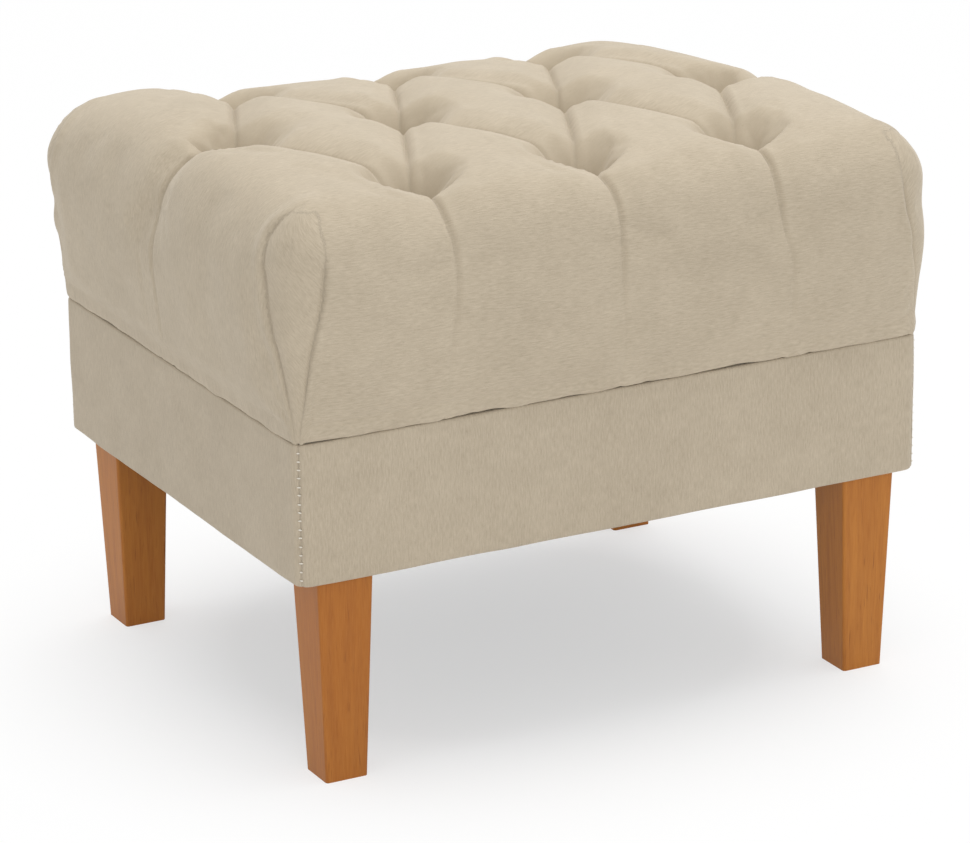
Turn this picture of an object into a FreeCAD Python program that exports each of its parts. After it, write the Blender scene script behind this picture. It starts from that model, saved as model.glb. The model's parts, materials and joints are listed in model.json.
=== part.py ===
import FreeCAD, Part
import math
import os

os.makedirs("parts", exist_ok=True)

# Tufted footstool: a diamond-tufted cushion on an upholstered timber box with four tapered legs.
# Millimetres, +Z up, origin on the floor under the middle, long front side towards -Y.

# Covered rail box
rail_width = 550.0
rail_depth = 440.0
rail_bottom = 168.0
rail_top = 282.0
rail_corner_radius = 11.0
rail_edge_radius = 5.0
rail_board = 18.0
rail_padding = 5.0
cover_cloth = 1.5
rail_cover_turn = 24.0

# Legs
leg_top_side = 47.0
leg_foot_side = 35.5
leg_arris_radius = 2.5
leg_inset_side = 18.0
leg_inset_front = 6.0

# Leg fixing
bolt_radius = 4.0
bolt_into_leg = 32.0
bolt_past_nut = 4.0
bolt_to_rail = 12.5
bolt_slip = 0.4
thread_fit = 0.1
nut_flange_radius = 9.5
nut_flange = 1.6
nut_barrel_radius = 5.4
nut_barrel = 11.0
leg_block_side = 45.0
leg_block_height = 40.0

# Cleats that the seat board is screwed to
cleat_thickness = 20.0
cleat_height = 30.0

# Screws
screw_radius = 1.9
screw_head_radius = 3.8
screw_head = 3.0
rail_screw_length = 50.0
rail_screw_from_edge = 28.0
block_screw_length = 57.0
block_screw_from_side = 12.0
block_screw_low = 13.0
block_screw_high = 27.0
cleat_screw_length = 34.0
cleat_screw_spacing = 150.0
seat_screw_length = 40.0
seat_screw_spacing = 150.0

# Staples
staple_wire = 0.6
staple_width = 1.0
staple_crown = 10.0
staple_leg = 8.0
staple_spacing = 52.0
dust_staple_inset = 18.0
rail_staple_inset = 15.0
pad_staple_inset = 46.0

# Dust cover under the box
dust_cloth = 0.8
dust_inset = 12.0
dust_corner_radius = 4.0

# Seat board and cushion
seat_board = 12.0
seat_board_corner = 10.0
seat_board_gap = 2.0
pad_cover_turn = 50.0
wadding = 6.0
crown_height = 186.0
seam_draw_in = 2.5
side_bulge = 13.0
widest_height = 118.0
top_round = 52.0
seam_corner_radius = 12.0
top_corner_radius = 34.0
sides_above_crown = 6.0
side_levels = (0.0, 0.2, 0.45, 0.72, 1.0)
round_levels = (0.3, 0.55, 0.75, 0.88, 0.96, 1.0)

# Tufting: rows of three, four and three, joined by diagonal folds
row_step = 150.0
pit_depth = 60.0
fold_rise = 42.0
fold_roundness = 0.7
pillow_fullness = 2.5
least_swell = 0.3
diamond_drop = 12.0
edge_pleat_dip = 16.0
end_pleat_rise = 40.0
front_crown_drop = 0.7
corner_crown_drop = 8.0
tuft_columns = 4
fold_gap = 4.0
roof_overhang = 24.0
roof_edge_drop = 28.0
stations_per_fold = 4
end_stations = (0.15, 0.4, 0.7, 1.0)

# Buttons, twine and washers
button_radius = 10.0
button_height = 7.0
button_rim = 3.0
button_seat_gap = 0.4
twine_radius = 0.9
twine_hole_gap = 0.3
washer_radius = 8.0
washer = 1.5

# Corner stitching of the rail cover
stitch_pitch = 6.8
stitch_length = 2.6
stitch_thread = 0.7
stitch_from_edge = 5.0

# Places that follow from the sizes above
half_width = rail_width / 2
half_depth = rail_depth / 2
board_inset = cover_cloth + rail_padding
board_bottom = rail_bottom + cover_cloth
board_top = rail_top - cover_cloth
inner_width = half_width - board_inset - rail_board
inner_depth = half_depth - board_inset - rail_board
leg_top = rail_bottom - dust_cloth
leg_x = half_width - leg_inset_side - leg_top_side / 2
leg_y = half_depth - leg_inset_front - leg_top_side / 2
bolt_x = inner_width - bolt_to_rail
bolt_y = inner_depth - bolt_to_rail
leg_block_top = board_bottom + leg_block_height
cleat_bottom = rail_top - cleat_height
pad_board_bottom = rail_top + cover_cloth
pad_board_top = pad_board_bottom + seat_board
crown_z = rail_top + crown_height
pit_z = crown_z - pit_depth
half_pitch = rail_width / tuft_columns / 2

sides = {"front": (0, -1), "back": (0, 1), "left": (-1, 0), "right": (1, 0)}
corners = {"front_left": (-1, -1), "front_right": (1, -1), "back_left": (-1, 1), "back_right": (1, 1)}
up = FreeCAD.Vector(0, 0, 1)


def point(x, y, z):
    return FreeCAD.Vector(x, y, z)


def save(name, solids):
    if isinstance(solids, list):
        solids = Part.makeCompound(solids)
    solids.exportStep("parts/" + name + ".step")


def block(x0, x1, y0, y1, z0, z1):
    low = point(min(x0, x1), min(y0, y1), min(z0, z1))
    return Part.makeBox(abs(x1 - x0), abs(y1 - y0), abs(z1 - z0), low)


def rod(x, y, z0, z1, radius):
    return Part.makeCylinder(radius, z1 - z0, point(x, y, z0))


def rounded_outline(half_x, half_y, radius, z, x=0.0, y=0.0):
    """A rectangle with round corners, as a closed wire at height z."""
    low_x = half_x - radius
    low_y = half_y - radius
    edges = []
    for turn in range(4):
        start = math.pi / 2 * turn
        sign_x = 1 if turn in (0, 3) else -1
        sign_y = 1 if turn in (0, 1) else -1
        centre = point(x + sign_x * low_x, y + sign_y * low_y, z)
        on_arc = [
            centre + point(math.cos(start + bend), math.sin(start + bend), 0) * radius
            for bend in (0, math.pi / 4, math.pi / 2)
        ]
        edges.append(Part.Arc(*on_arc).toShape())
        next_start = start + math.pi / 2
        next_x = 1 if turn in (3, 2) else -1
        next_y = 1 if turn in (0, 3) else -1
        next_centre = point(x + next_x * low_x, y + next_y * low_y, z)
        next_point = next_centre + point(math.cos(next_start), math.sin(next_start), 0) * radius
        edges.append(Part.makeLine(on_arc[2], next_point))
    return Part.Wire(edges)


def rounded_block(half_x, half_y, radius, z0, z1):
    face = Part.Face(rounded_outline(half_x, half_y, radius, z0))
    return face.extrude(point(0, 0, z1 - z0))


def soft_edged_block(inset, z0, z1):
    """The rail box's outside, moved in by inset, with its top and bottom edges rounded."""
    body = rounded_block(half_width - inset, half_depth - inset, rail_corner_radius - inset, z0, z1)
    rim = [edge for edge in body.Edges if edge.BoundBox.ZLength < 0.01]
    return body.makeFillet(rail_edge_radius - inset, rim)


def side_wedge(side):
    """The part of the box that belongs to one side, cut at 45 degrees through its corners."""
    sign_x, sign_y = sides[side]
    out = rail_corner_radius
    deep = min(half_width, half_depth) / 2
    outer_x = half_width + out
    outer_y = half_depth + out
    if sign_y:
        outline = [
            (-outer_x, sign_y * outer_y),
            (outer_x, sign_y * outer_y),
            (half_width - deep, sign_y * (half_depth - deep)),
            (-half_width + deep, sign_y * (half_depth - deep)),
        ]
    else:
        outline = [
            (sign_x * outer_x, -outer_y),
            (sign_x * outer_x, outer_y),
            (sign_x * (half_width - deep), half_depth - deep),
            (sign_x * (half_width - deep), -half_depth + deep),
        ]
    corners_3d = [point(x, y, rail_bottom - out) for x, y in outline]
    face = Part.Face(Part.makePolygon(corners_3d + corners_3d[:1]))
    return face.extrude(point(0, 0, rail_top - rail_bottom + 2 * out))


def screw(start, direction, length, grow=0.0):
    """A countersunk wood screw whose head is flush at start, grown by a clearance for its hole."""
    head = Part.makeCone(screw_head_radius + grow, screw_radius + grow, screw_head, start, direction)
    shank = Part.makeCylinder(screw_radius + grow, length + grow, start, direction)
    return head.fuse(shank)


def staple(x, y, z, along_x, rise):
    """A staple whose crown lies at z, with its legs pointing up, or down where rise is -1."""
    long_half = staple_crown / 2
    thin_half = staple_width / 2
    half_x, half_y = (long_half, thin_half) if along_x else (thin_half, long_half)
    crown = block(x - half_x, x + half_x, y - half_y, y + half_y, z, z + rise * staple_wire)
    legs = []
    for end in (-1, 1):
        near = long_half - staple_wire
        if along_x:
            span = sorted((x + end * near, x + end * long_half)) + [y - thin_half, y + thin_half]
        else:
            span = [x - thin_half, x + thin_half] + sorted((y + end * near, y + end * long_half))
        legs.append(block(span[0], span[1], span[2], span[3], z, z + rise * staple_leg))
    return crown.fuse(legs).removeSplitter()


def staple_row(half_x, half_y, reach_x, reach_y, z, rise):
    """Staples along the four sides of a rectangle, kept within reach of the middle of each side."""
    row = []
    count_x = int(2 * reach_x / staple_spacing) + 1
    count_y = int(2 * reach_y / staple_spacing) + 1
    for index in range(count_x):
        x = (index - (count_x - 1) / 2) * staple_spacing
        row += [staple(x, sign * half_y, z, True, rise) for sign in (-1, 1)]
    for index in range(count_y):
        y = (index - (count_y - 1) / 2) * staple_spacing
        row += [staple(sign * half_x, y, z, False, rise) for sign in (-1, 1)]
    return row


def tuft_places():
    """Centres of the tufts: three in front, four in the middle and three behind."""
    outer = [(column - 1) * 2 * half_pitch for column in range(tuft_columns - 1)]
    middle = [(2 * column - tuft_columns + 1) * half_pitch for column in range(tuft_columns)]
    return [(x, -row_step) for x in outer] + [(x, 0.0) for x in middle] + [(x, row_step) for x in outer]


def cushion_sides(inset):
    """The cushion's outside without its tufting: drawn in at the seam, full above, round at the top."""
    lift = crown_z + sides_above_crown - rail_top - widest_height
    levels = []
    for share in side_levels:
        out = -seam_draw_in + (side_bulge + seam_draw_in) * math.sin(math.pi / 2 * share)
        levels.append((rail_top + widest_height * share, out, share))
    for share in round_levels:
        out = side_bulge - top_round * (1 - math.sqrt(1 - share * share))
        levels.append((rail_top + widest_height + lift * share, out, 1.0))
    outlines = []
    for height, out, share in levels:
        z = max(height, rail_top + inset)
        radius = seam_corner_radius + (top_corner_radius - seam_corner_radius) * share - inset
        outlines.append(rounded_outline(half_width + out - inset, half_depth + out - inset, radius, z))
    return Part.makeLoft(outlines, True, True)


def roof_section(x, inset):
    """The cushion's top across the stool at x: front pillow, diamond and back pillow, as three arcs."""
    step = abs(x) / half_pitch
    last_tuft = tuft_columns - 1
    swing = abs(1 - step % 2)
    past = max(0.0, (step - last_tuft) * half_pitch)
    if past > 0:
        reach = half_width - last_tuft * half_pitch
        fold_y = fold_gap
        fold_z = pit_z + end_pleat_rise * math.sin(math.pi / 2 * min(1.0, past / reach))
        mid_z = fold_z
        front_z = crown_z - front_crown_drop - corner_crown_drop * (past / reach) ** 2
    else:
        fold_y = max(fold_gap, row_step * swing)
        fold_z = pit_z + fold_rise * math.sin(math.pi * (step % 1)) ** fold_roundness
        mid_z = fold_z + (crown_z - diamond_drop - fold_z) * (1 - (1 - swing) ** pillow_fullness)
        front_z = crown_z - front_crown_drop - edge_pleat_dip * swing ** pillow_fullness
    mid_z = max(mid_z, fold_z + least_swell)
    edge_y = half_depth + roof_overhang
    edge_z = front_z - roof_edge_drop
    crest_y = (fold_y + edge_y) / 2
    low_z = rail_top - roof_overhang
    top = [
        (-edge_y, edge_z), (-crest_y, front_z), (-fold_y, fold_z),
        (0.0, mid_z), (fold_y, fold_z), (crest_y, front_z), (edge_y, edge_z),
    ]
    spots = [point(x, y, z - inset) for y, z in top]
    left_foot = point(x, -edge_y, low_z)
    right_foot = point(x, edge_y, low_z)
    edges = [
        Part.makeLine(left_foot, spots[0]),
        Part.Arc(spots[0], spots[1], spots[2]).toShape(),
        Part.Arc(spots[2], spots[3], spots[4]).toShape(),
        Part.Arc(spots[4], spots[5], spots[6]).toShape(),
        Part.makeLine(spots[6], right_foot),
        Part.makeLine(right_foot, left_foot),
    ]
    return Part.Wire(edges)


def cushion_form(inset):
    """The tufted cushion's whole outside, moved in by inset."""
    tufted = (tuft_columns - 1) * half_pitch
    count = (tuft_columns - 1) * stations_per_fold
    stations = [tufted * index / count for index in range(-count, count + 1)]
    end = half_width + roof_overhang
    for share in end_stations:
        stations += [sign * (tufted + (end - tufted) * share) for sign in (-1, 1)]
    roof = Part.makeLoft([roof_section(x, inset) for x in sorted(stations)], True, True)
    form = cushion_sides(inset).common(roof)
    seats = [
        rod(x, y, pit_z - inset, crown_z, button_radius + button_seat_gap + inset)
        for x, y in tuft_places()
    ]
    return form.cut(seats)


def first_solid(shape):
    return max(shape.Solids, key=lambda solid: solid.Volume)


# Screws, bolts and staples come first, because the timber is drilled to suit them
rail_screw_places = []
for sign_x in (-1, 1):
    for sign_y in (-1, 1):
        for z in (board_bottom + rail_screw_from_edge, board_top - rail_screw_from_edge):
            start = point(sign_x * (inner_width + rail_board / 2), sign_y * (half_depth - board_inset), z)
            rail_screw_places.append((start, point(0, -sign_y, 0), rail_screw_length))

block_screw_places = []
for sign_x, sign_y in corners.values():
    near_x = sign_x * (inner_width - leg_block_side)
    near_y = sign_y * (inner_depth - leg_block_side)
    off = block_screw_from_side
    to_side = point(near_x, near_y + sign_y * off, board_bottom + block_screw_low)
    to_front = point(near_x + sign_x * off, near_y, board_bottom + block_screw_high)
    block_screw_places.append((to_side, point(sign_x, 0, 0), block_screw_length))
    block_screw_places.append((to_front, point(0, sign_y, 0), block_screw_length))

cleat_screw_places = []
seat_screw_places = []
for sign_x in (-1, 1):
    for index in (-1, 0, 1):
        x = sign_x * (inner_width - cleat_thickness)
        start = point(x, index * cleat_screw_spacing, cleat_bottom + cleat_height / 2)
        cleat_screw_places.append((start, point(sign_x, 0, 0), cleat_screw_length))
    for index in (-0.5, 0.5):
        x = sign_x * (inner_width - cleat_thickness / 2)
        start = point(x, index * seat_screw_spacing, cleat_bottom)
        seat_screw_places.append((start, up, seat_screw_length))

screw_groups = {
    "rail_screws": rail_screw_places,
    "block_screws": block_screw_places,
    "cleat_screws": cleat_screw_places,
    "seat_screws": seat_screw_places,
}
screw_holes = []
for name, places in screw_groups.items():
    save(name, [screw(*place) for place in places])
    screw_holes += [screw(*place, grow=thread_fit) for place in places]

between_legs_x = leg_x - leg_top_side / 2 - staple_crown
between_legs_y = leg_y - leg_top_side / 2 - staple_crown
dust_bottom = rail_bottom - dust_cloth
dust_staples = staple_row(
    half_width - dust_staple_inset, half_depth - dust_staple_inset,
    between_legs_x, between_legs_y, dust_bottom - staple_wire, 1,
)
rail_staples = staple_row(
    half_width - rail_staple_inset, half_depth - rail_staple_inset,
    inner_width - staple_crown, inner_depth - staple_crown, rail_top, -1,
)
pad_staples = staple_row(
    half_width - seam_draw_in - pad_staple_inset, half_depth - seam_draw_in - pad_staple_inset,
    half_width - pad_cover_turn - staple_crown, half_depth - pad_cover_turn - staple_crown,
    rail_top - staple_wire, 1,
)
save("dust_cover_staples", dust_staples)
save("rail_cover_staples", rail_staples)
save("pad_cover_staples", pad_staples)

# Legs, with their hanger bolts and tee nuts
bolts = []
nuts = []
bolt_holes = []
for corner, (sign_x, sign_y) in corners.items():
    x = sign_x * leg_x
    y = sign_y * leg_y
    foot = rounded_outline(leg_foot_side / 2, leg_foot_side / 2, leg_arris_radius, 0, x, y)
    head = rounded_outline(leg_top_side / 2, leg_top_side / 2, leg_arris_radius, leg_top, x, y)
    leg = Part.makeLoft([foot, head], True, True)
    hole_x = sign_x * bolt_x
    hole_y = sign_y * bolt_y
    leg_bore = rod(hole_x, hole_y, leg_top - bolt_into_leg - thread_fit, leg_top, bolt_radius + thread_fit)
    save("leg_" + corner, leg.cut(leg_bore))
    bolt_top = leg_block_top + nut_flange + bolt_past_nut
    bolts.append(rod(hole_x, hole_y, leg_top - bolt_into_leg, bolt_top, bolt_radius))
    flange = rod(hole_x, hole_y, leg_block_top, leg_block_top + nut_flange, nut_flange_radius)
    barrel = rod(hole_x, hole_y, leg_block_top - nut_barrel, leg_block_top, nut_barrel_radius)
    thread = rod(hole_x, hole_y, leg_block_top - nut_barrel, bolt_top, bolt_radius + thread_fit)
    nuts.append(flange.fuse(barrel).cut(thread).removeSplitter())
    bolt_holes.append(rod(hole_x, hole_y, dust_bottom, leg_block_top, bolt_radius + bolt_slip))

    near_x = sign_x * (inner_width - leg_block_side)
    near_y = sign_y * (inner_depth - leg_block_side)
    leg_block = block(near_x, sign_x * inner_width, near_y, sign_y * inner_depth, board_bottom, leg_block_top)
    barrel_hole = rod(
        hole_x, hole_y, leg_block_top - nut_barrel, leg_block_top, nut_barrel_radius + thread_fit
    )
    save("leg_block_" + corner, leg_block.cut(screw_holes + [bolt_holes[-1], barrel_hole]))
save("hanger_bolts", bolts)
save("tee_nuts", nuts)

# Timber rails: the front and back ones run through, the side ones stand between them
staple_cuts = dust_staples + rail_staples
for side, (sign_x, sign_y) in sides.items():
    if sign_y:
        reach = half_width - board_inset
        board = block(
            -reach, reach, sign_y * inner_depth, sign_y * (inner_depth + rail_board), board_bottom, board_top
        )
    else:
        board = block(
            sign_x * inner_width, sign_x * (inner_width + rail_board),
            -inner_depth, inner_depth, board_bottom, board_top,
        )
    save(side + "_rail", board.cut(screw_holes + staple_cuts))
    if sign_x:
        cleat = block(
            sign_x * (inner_width - cleat_thickness), sign_x * inner_width,
            -inner_depth, inner_depth, cleat_bottom, rail_top,
        )
        save(side + "_cleat", cleat.cut(screw_holes))

# Rail padding and rail cover: a sleeve each, in four pieces that meet at the corner seams
outside = soft_edged_block(0.0, rail_bottom, rail_top)
inside = soft_edged_block(cover_cloth, board_bottom, board_top)
boards = block(
    -half_width + board_inset, half_width - board_inset,
    -half_depth + board_inset, half_depth - board_inset, board_bottom, board_top,
)
turn_x = half_width - rail_cover_turn
turn_y = half_depth - rail_cover_turn
opening = block(-turn_x, turn_x, -turn_y, turn_y, rail_bottom, rail_top)
cover_sleeve = outside.cut([inside, opening])
padding_sleeve = inside.cut(boards)
for side in sides:
    wedge = side_wedge(side)
    save("rail_cover_" + side, cover_sleeve.common(wedge).cut(staple_cuts))
    save("rail_padding_" + side, padding_sleeve.common(wedge))

# Hand stitches that close the four corner seams of the rail cover
stitches = []
stitch_count = int((rail_top - rail_bottom - 2 * stitch_from_edge) / stitch_pitch) + 1
first_stitch = (rail_bottom + rail_top) / 2 - (stitch_count - 1) * stitch_pitch / 2
for sign_x, sign_y in corners.values():
    centre_x = half_width - rail_corner_radius
    centre_y = half_depth - rail_corner_radius
    seam_x = sign_x * (centre_x + rail_corner_radius * math.cos(math.pi / 4))
    seam_y = sign_y * (centre_y + rail_corner_radius * math.sin(math.pi / 4))
    for index in range(stitch_count):
        bar = Part.makeBox(
            stitch_thread, stitch_length, stitch_thread,
            point(0, -stitch_length / 2, -stitch_thread / 2),
        )
        bar.rotate(point(0, 0, 0), up, math.degrees(math.atan2(sign_y, sign_x)))
        bar.translate(point(seam_x, seam_y, first_stitch + index * stitch_pitch))
        stitches.append(bar)
save("corner_stitches", stitches)

# Dust cover
dust_cover = rounded_block(
    half_width - dust_inset, half_depth - dust_inset, dust_corner_radius, dust_bottom, rail_bottom
)
save("dust_cover", dust_cover.cut(bolt_holes + dust_staples))

# Seat board, foam, wadding and the tufted cover, each made from the same form
twine_holes = [
    rod(x, y, rail_top, crown_z, twine_radius + twine_hole_gap) for x, y in tuft_places()
]
board_edge = cover_cloth + wadding + seam_draw_in + seat_board_gap
board_plate = rounded_block(
    half_width - board_edge, half_depth - board_edge, seat_board_corner, pad_board_bottom, pad_board_top
)
save("seat_board", board_plate.cut(twine_holes + screw_holes + pad_staples))

room = block(-rail_width, rail_width, -rail_depth, rail_depth, pad_board_top, crown_z + wadding)
foam = cushion_form(cover_cloth + wadding).common(room)
under_cover = cushion_form(cover_cloth)
cushion = cushion_form(0.0)
save("foam_block", first_solid(foam.cut(twine_holes)))
save("wadding", first_solid(under_cover.cut([foam, board_plate] + twine_holes)))
turn_x = half_width - seam_draw_in - pad_cover_turn
turn_y = half_depth - seam_draw_in - pad_cover_turn
pad_opening = block(-turn_x, turn_x, -turn_y, turn_y, rail_top, pad_board_bottom)
tufted_cover = cushion.cut([under_cover, pad_opening] + twine_holes + screw_holes + pad_staples)
save("tufted_cover", first_solid(tufted_cover))

# Buttons, with the twine and washers that hold them down to the seat board
twines = []
washers = []
for number, (x, y) in enumerate(tuft_places(), start=1):
    rim = point(x + button_radius, y, pit_z + button_rim)
    peak = point(x, y, pit_z + button_height)
    rise = button_height - button_rim
    dome_radius = (button_radius ** 2 + rise ** 2) / (2 * rise)
    half_turn = math.asin(button_radius / dome_radius) / 2
    mid_x = x + dome_radius * math.sin(half_turn)
    mid_z = peak.z - dome_radius * (1 - math.cos(half_turn))
    outline = Part.Wire([
        Part.makeLine(point(x, y, pit_z), point(x + button_radius, y, pit_z)),
        Part.makeLine(point(x + button_radius, y, pit_z), rim),
        Part.Arc(rim, point(mid_x, y, mid_z), peak).toShape(),
        Part.makeLine(peak, point(x, y, pit_z)),
    ])
    button = Part.Face(outline).revolve(point(x, y, 0), up, 360)
    save("tuft_button_" + str(number), Part.Solid(button))
    twines.append(rod(x, y, pad_board_bottom - washer, pit_z, twine_radius))
    hole = rod(x, y, pad_board_bottom - washer, pad_board_bottom, twine_radius + thread_fit)
    washers.append(rod(x, y, pad_board_bottom - washer, pad_board_bottom, washer_radius).cut(hole))
save("tuft_twines", twines)
save("twine_washers", washers)
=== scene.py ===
import json
import math
import random
import bpy
import bmesh
import numpy as np
from mathutils import Matrix, Vector


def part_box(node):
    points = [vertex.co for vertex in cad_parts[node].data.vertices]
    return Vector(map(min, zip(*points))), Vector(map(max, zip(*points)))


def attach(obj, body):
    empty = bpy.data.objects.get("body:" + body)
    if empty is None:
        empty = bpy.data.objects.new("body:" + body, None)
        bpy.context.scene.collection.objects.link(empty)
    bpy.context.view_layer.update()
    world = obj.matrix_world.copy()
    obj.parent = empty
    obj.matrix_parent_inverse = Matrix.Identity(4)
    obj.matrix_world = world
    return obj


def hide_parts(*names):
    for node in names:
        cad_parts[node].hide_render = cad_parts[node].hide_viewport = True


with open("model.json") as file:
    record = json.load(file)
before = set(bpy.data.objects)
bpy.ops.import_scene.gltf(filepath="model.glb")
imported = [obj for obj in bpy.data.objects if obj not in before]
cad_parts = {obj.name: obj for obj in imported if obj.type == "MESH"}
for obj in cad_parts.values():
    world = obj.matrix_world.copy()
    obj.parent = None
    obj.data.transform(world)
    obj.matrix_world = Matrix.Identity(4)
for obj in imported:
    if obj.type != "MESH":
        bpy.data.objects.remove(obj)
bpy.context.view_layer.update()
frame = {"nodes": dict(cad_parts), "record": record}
print("frame loaded:", len(frame["nodes"]), "nodes")


# measures taken from the frame, in metres
def boxOf(node):
    low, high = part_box(node)
    return np.array(low), np.array(high)


railLow = boxOf("rail_cover_front")[0][2]
railHigh = boxOf("rail_cover_front")[1][2]
halfWidth = -boxOf("rail_cover_left")[0][0]
halfDepth = -boxOf("rail_cover_front")[0][1]
crest = boxOf("tufted_cover")[1][2]
pitFloor = boxOf("tuft_button_1")[0][2]
buttonPlaces = []
for number in range(1, 11):
    low, high = boxOf("tuft_button_%d" % number)
    buttonPlaces.append((low + high) / 2)
rowStep = -buttonPlaces[0][1]
halfPitch = (buttonPlaces[1][0] - buttonPlaces[0][0]) / 2


# ---- helpers
def addMesh(name, bm):
    mesh = bpy.data.meshes.new(name)
    bm.to_mesh(mesh)
    bm.free()
    piece = bpy.data.objects.new(name, mesh)
    bpy.context.scene.collection.objects.link(piece)
    return piece


def applyModifiers(piece):
    graph = bpy.context.evaluated_depsgraph_get()
    shown = piece.evaluated_get(graph)
    mesh = bpy.data.meshes.new_from_object(shown, preserve_all_data_layers=True, depsgraph=graph)
    old = piece.data
    piece.modifiers.clear()
    piece.data = mesh
    bpy.data.meshes.remove(old)


def coordsOf(mesh):
    flat = np.empty(len(mesh.vertices) * 3)
    mesh.vertices.foreach_get("co", flat)
    return flat.reshape(-1, 3)


def normalsOf(mesh):
    flat = np.empty(len(mesh.vertices) * 3, dtype=np.float32)
    mesh.vertices.foreach_get("normal", flat)
    return flat.reshape(-1, 3).astype(float)


def setCoords(mesh, points):
    mesh.vertices.foreach_set("co", points.reshape(-1).astype(np.float32))
    mesh.update()


def writeAttribute(mesh, name, values):
    layer = mesh.attributes.get(name) or mesh.attributes.new(name, "FLOAT_VECTOR", "POINT")
    layer.data.foreach_set("vector", values.reshape(-1).astype(np.float32))


def readAttribute(mesh, name):
    flat = np.empty(len(mesh.vertices) * 3, dtype=np.float32)
    mesh.attributes[name].data.foreach_get("vector", flat)
    return flat.reshape(-1, 3).astype(float)


def smoothShade(piece):
    piece.data.polygons.foreach_set("use_smooth", [True] * len(piece.data.polygons))


def uprightEdges(bm):
    return [edge for edge in bm.edges if abs(edge.verts[0].co.z - edge.verts[1].co.z) > 0.01]


def rimEdges(bm, level):
    return [edge for edge in bm.edges if all(abs(vert.co.z - level) < 1e-5 for vert in edge.verts)]


def roundOff(bm, edges, offset, segments):
    bmesh.ops.bevel(
        bm, geom=edges, affect="EDGES", offset=offset, segments=segments, profile=0.5, material=-1
    )


def ease(low, high, value):
    # nothing at low and one at high, with a soft start and end; low may be the larger
    share = np.clip((value - low) / (high - low), 0, 1)
    return share * share * (3 - 2 * share)


def ripple(points, seed, length, waves=7):
    # a soft unevenness between -1 and 1, with waves of about the given length
    draw = random.Random(seed)
    total = np.zeros(len(points))
    for _ in range(waves):
        way = np.array([draw.uniform(-1, 1) for _ in range(3)])
        way /= np.linalg.norm(way)
        wave = 2 * math.pi / (length * draw.uniform(0.7, 1.5))
        total += np.sin(points @ way * wave + draw.uniform(0, 6.28))
    return total / waves * 1.6


# ---- shader maths: a wire is one socket, and sums on wires add Math nodes
class Wire:
    def __init__(self, finish, socket):
        self.finish = finish
        self.socket = socket

    def maths(self, kind, first, second):
        return self.finish.node("ShaderNodeMath", {"operation": kind}, {0: first, 1: second})

    def __add__(self, other):
        return self.maths("ADD", self, other)

    def __radd__(self, other):
        return self.maths("ADD", other, self)

    def __sub__(self, other):
        return self.maths("SUBTRACT", self, other)

    def __rsub__(self, other):
        return self.maths("SUBTRACT", other, self)

    def __mul__(self, other):
        return self.maths("MULTIPLY", self, other)

    def __rmul__(self, other):
        return self.maths("MULTIPLY", other, self)


class Finish:
    def __init__(self, name, roughness=0.8, **fixed):
        self.material = bpy.data.materials.new(name)
        self.material.use_nodes = True
        self.tree = self.material.node_tree
        self.tree.nodes.clear()
        self.shader = self.tree.nodes.new("ShaderNodeBsdfPrincipled")
        self.output = self.tree.nodes.new("ShaderNodeOutputMaterial")
        self.tree.links.new(self.shader.outputs[0], self.output.inputs[0])
        self.shader.inputs["Roughness"].default_value = roughness
        for key, value in fixed.items():
            self.shader.inputs[key.replace("_", " ")].default_value = value

    def node(self, kind, settings=None, inputs=None, out=0):
        made = self.tree.nodes.new(kind)
        for key, value in (settings or {}).items():
            if key == "stops":
                while len(made.color_ramp.elements) < len(value):
                    made.color_ramp.elements.new(1)
                for element, (place, colour) in zip(made.color_ramp.elements, value):
                    element.position = place
                    element.color = colour + (1,)
            else:
                setattr(made, key, value)
        for key, value in (inputs or {}).items():
            if isinstance(value, Wire):
                self.tree.links.new(value.socket, made.inputs[key])
            else:
                made.inputs[key].default_value = value
        return Wire(self, made.outputs[out])

    def feed(self, name, wire):
        self.tree.links.new(wire.socket, self.shader.inputs[name])

    def places(self):
        return self.node("ShaderNodeTexCoord", out="Object")

    def stretched(self, wire, scale, shift=(0, 0, 0)):
        # the pattern's coordinates, so many of its lengths to the metre each way
        moved = self.node("ShaderNodeVectorMath", {"operation": "MULTIPLY"}, {0: wire, 1: scale})
        return self.node("ShaderNodeVectorMath", {"operation": "ADD"}, {0: moved, 1: shift})

    def noise(self, wire, detail=3.0, roughness=0.5, distortion=0.0):
        settings = {"Scale": 1.0, "Detail": detail, "Roughness": roughness, "Distortion": distortion}
        return self.node("ShaderNodeTexNoise", {}, {"Vector": wire, **settings})

    def mix(self, share, first, second, blend="MIX"):
        # colours go in as three numbers or as a wire
        colours = [value if isinstance(value, Wire) else tuple(value) + (1,) for value in (first, second)]
        settings = {"data_type": "RGBA", "blend_type": blend, "clamp_factor": True}
        return self.node("ShaderNodeMix", settings, {0: share, 6: colours[0], 7: colours[1]}, out=2)

    def ranged(self, wire, low, high, newLow=0.0, newHigh=1.0):
        values = {0: wire, 1: low, 2: high, 3: newLow, 4: newHigh}
        return self.node("ShaderNodeMapRange", {"clamp": True}, values)

    def bump(self, height, distance, strength=1.0, onto=None):
        inputs = {"Height": height, "Distance": distance, "Strength": strength}
        if onto is not None:
            inputs["Normal"] = onto
        return self.node("ShaderNodeBump", {}, inputs)


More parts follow.
